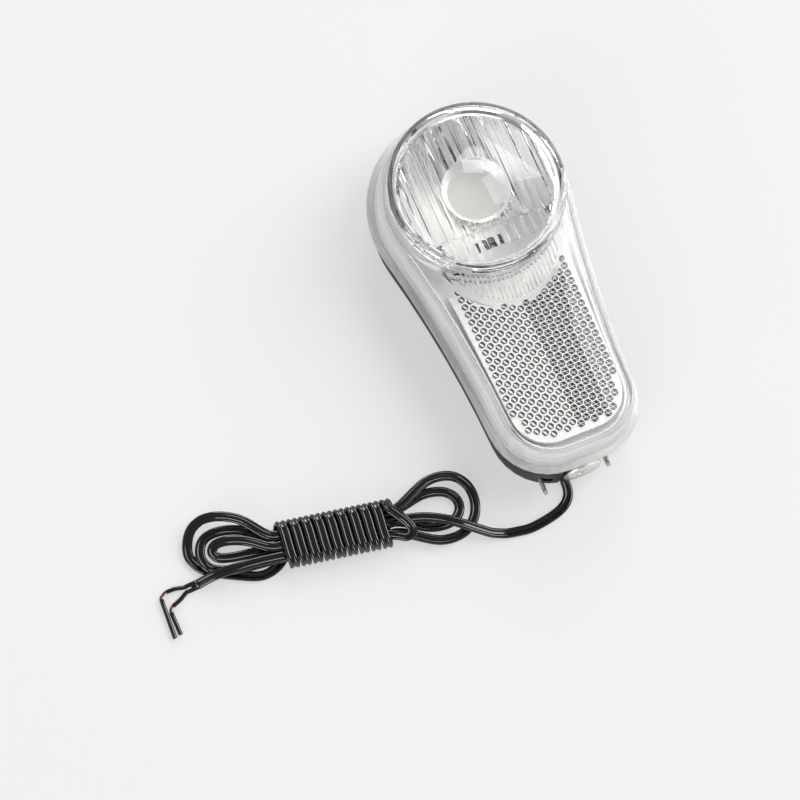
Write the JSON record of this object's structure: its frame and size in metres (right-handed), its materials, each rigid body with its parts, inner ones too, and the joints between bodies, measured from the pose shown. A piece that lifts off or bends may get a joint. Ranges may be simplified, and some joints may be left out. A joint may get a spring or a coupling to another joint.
{
  "type": "bicycle headlight",
  "caption": "Bicycle dynamo headlight with a round fluted lamp window over a prismatic reflector field, a clamp bolt in its lower end and a bound twin lead.",
  "frame": {"origin": "middle of the lamp's own box, on the plane of its flat back; the lead is left out", "axes": "+X across the lamp, to the right when it is seen from the front with the lamp head up; +Y along the lamp towards the lamp head; +Z the way the light shines"},
  "size_m": [0.1546, 0.122, 0.034],
  "materials": {
    "dark_plastic": "fine moulded grain",
    "clear_plastic": "polished clear moulding",
    "lens_plastic": "polished clear moulding with flutes",
    "prism_plastic": "clear moulding with corner prisms",
    "white_plastic": "satin",
    "metallised": "vacuum metallised",
    "board_white": "solder mask",
    "phosphor": "clear dome over yellow phosphor",
    "bare_aluminium": "as extruded",
    "board_green": "solder mask",
    "capacitor_sleeve": "shrunk sleeve",
    "black_epoxy": "moulded",
    "wire_cover": "extruded",
    "tinned_brass": "tinned",
    "plated_steel": "zinc plated",
    "cord_black": "extruded soft covering",
    "copper": "stranded"
  },
  "bodies": {
    "lamp": {"rear_housing": "dark_plastic", "front_cover": "clear_plastic", "window_lens": "lens_plastic", "prism_plate": "prism_plastic", "prism_backing": "white_plastic", "lamp_reflector": "metallised", "led_board": "board_white", "led_emitter": "phosphor", "heat_sink": "bare_aluminium", "control_board": "board_green", "smoothing_capacitor": "capacitor_sleeve", "rectifier_diodes": "black_epoxy", "led_wires": "wire_cover", "tail_tab_left": "tinned_brass", "tail_tab_right": "tinned_brass", "captive_nut": "plated_steel", "cord_lead": "cord_black", "cord_hank": "cord_black", "cord_binding": "cord_black", "cord_tail": "cord_black", "cord_core_a": "cord_black", "cord_core_b": "cord_black", "copper_end_a": "copper", "copper_end_b": "copper", "end_slug_a": "cord_black", "end_slug_b": "cord_black"},
    "washer": {"bolt_washer": "plated_steel"},
    "bolt": {"fixing_bolt": "plated_steel"}
  },
  "joints": [
    {"name": "washer_slide", "type": "slide", "parent": "lamp", "child": "washer", "axis": [0, -1, 0], "range_m": [-0.0008, 0.0024]},
    {"name": "bolt_turn", "type": "hinge", "parent": "washer", "child": "bolt", "pos_m": [0, -0.0536, 0.0073], "axis": [0, -1, 0], "range_deg": [-363, 1083]}
  ],
  "couplings": [
    {"joint": "bolt_turn", "follows": "washer_slide", "rad_per_m": 7854}
  ]
}
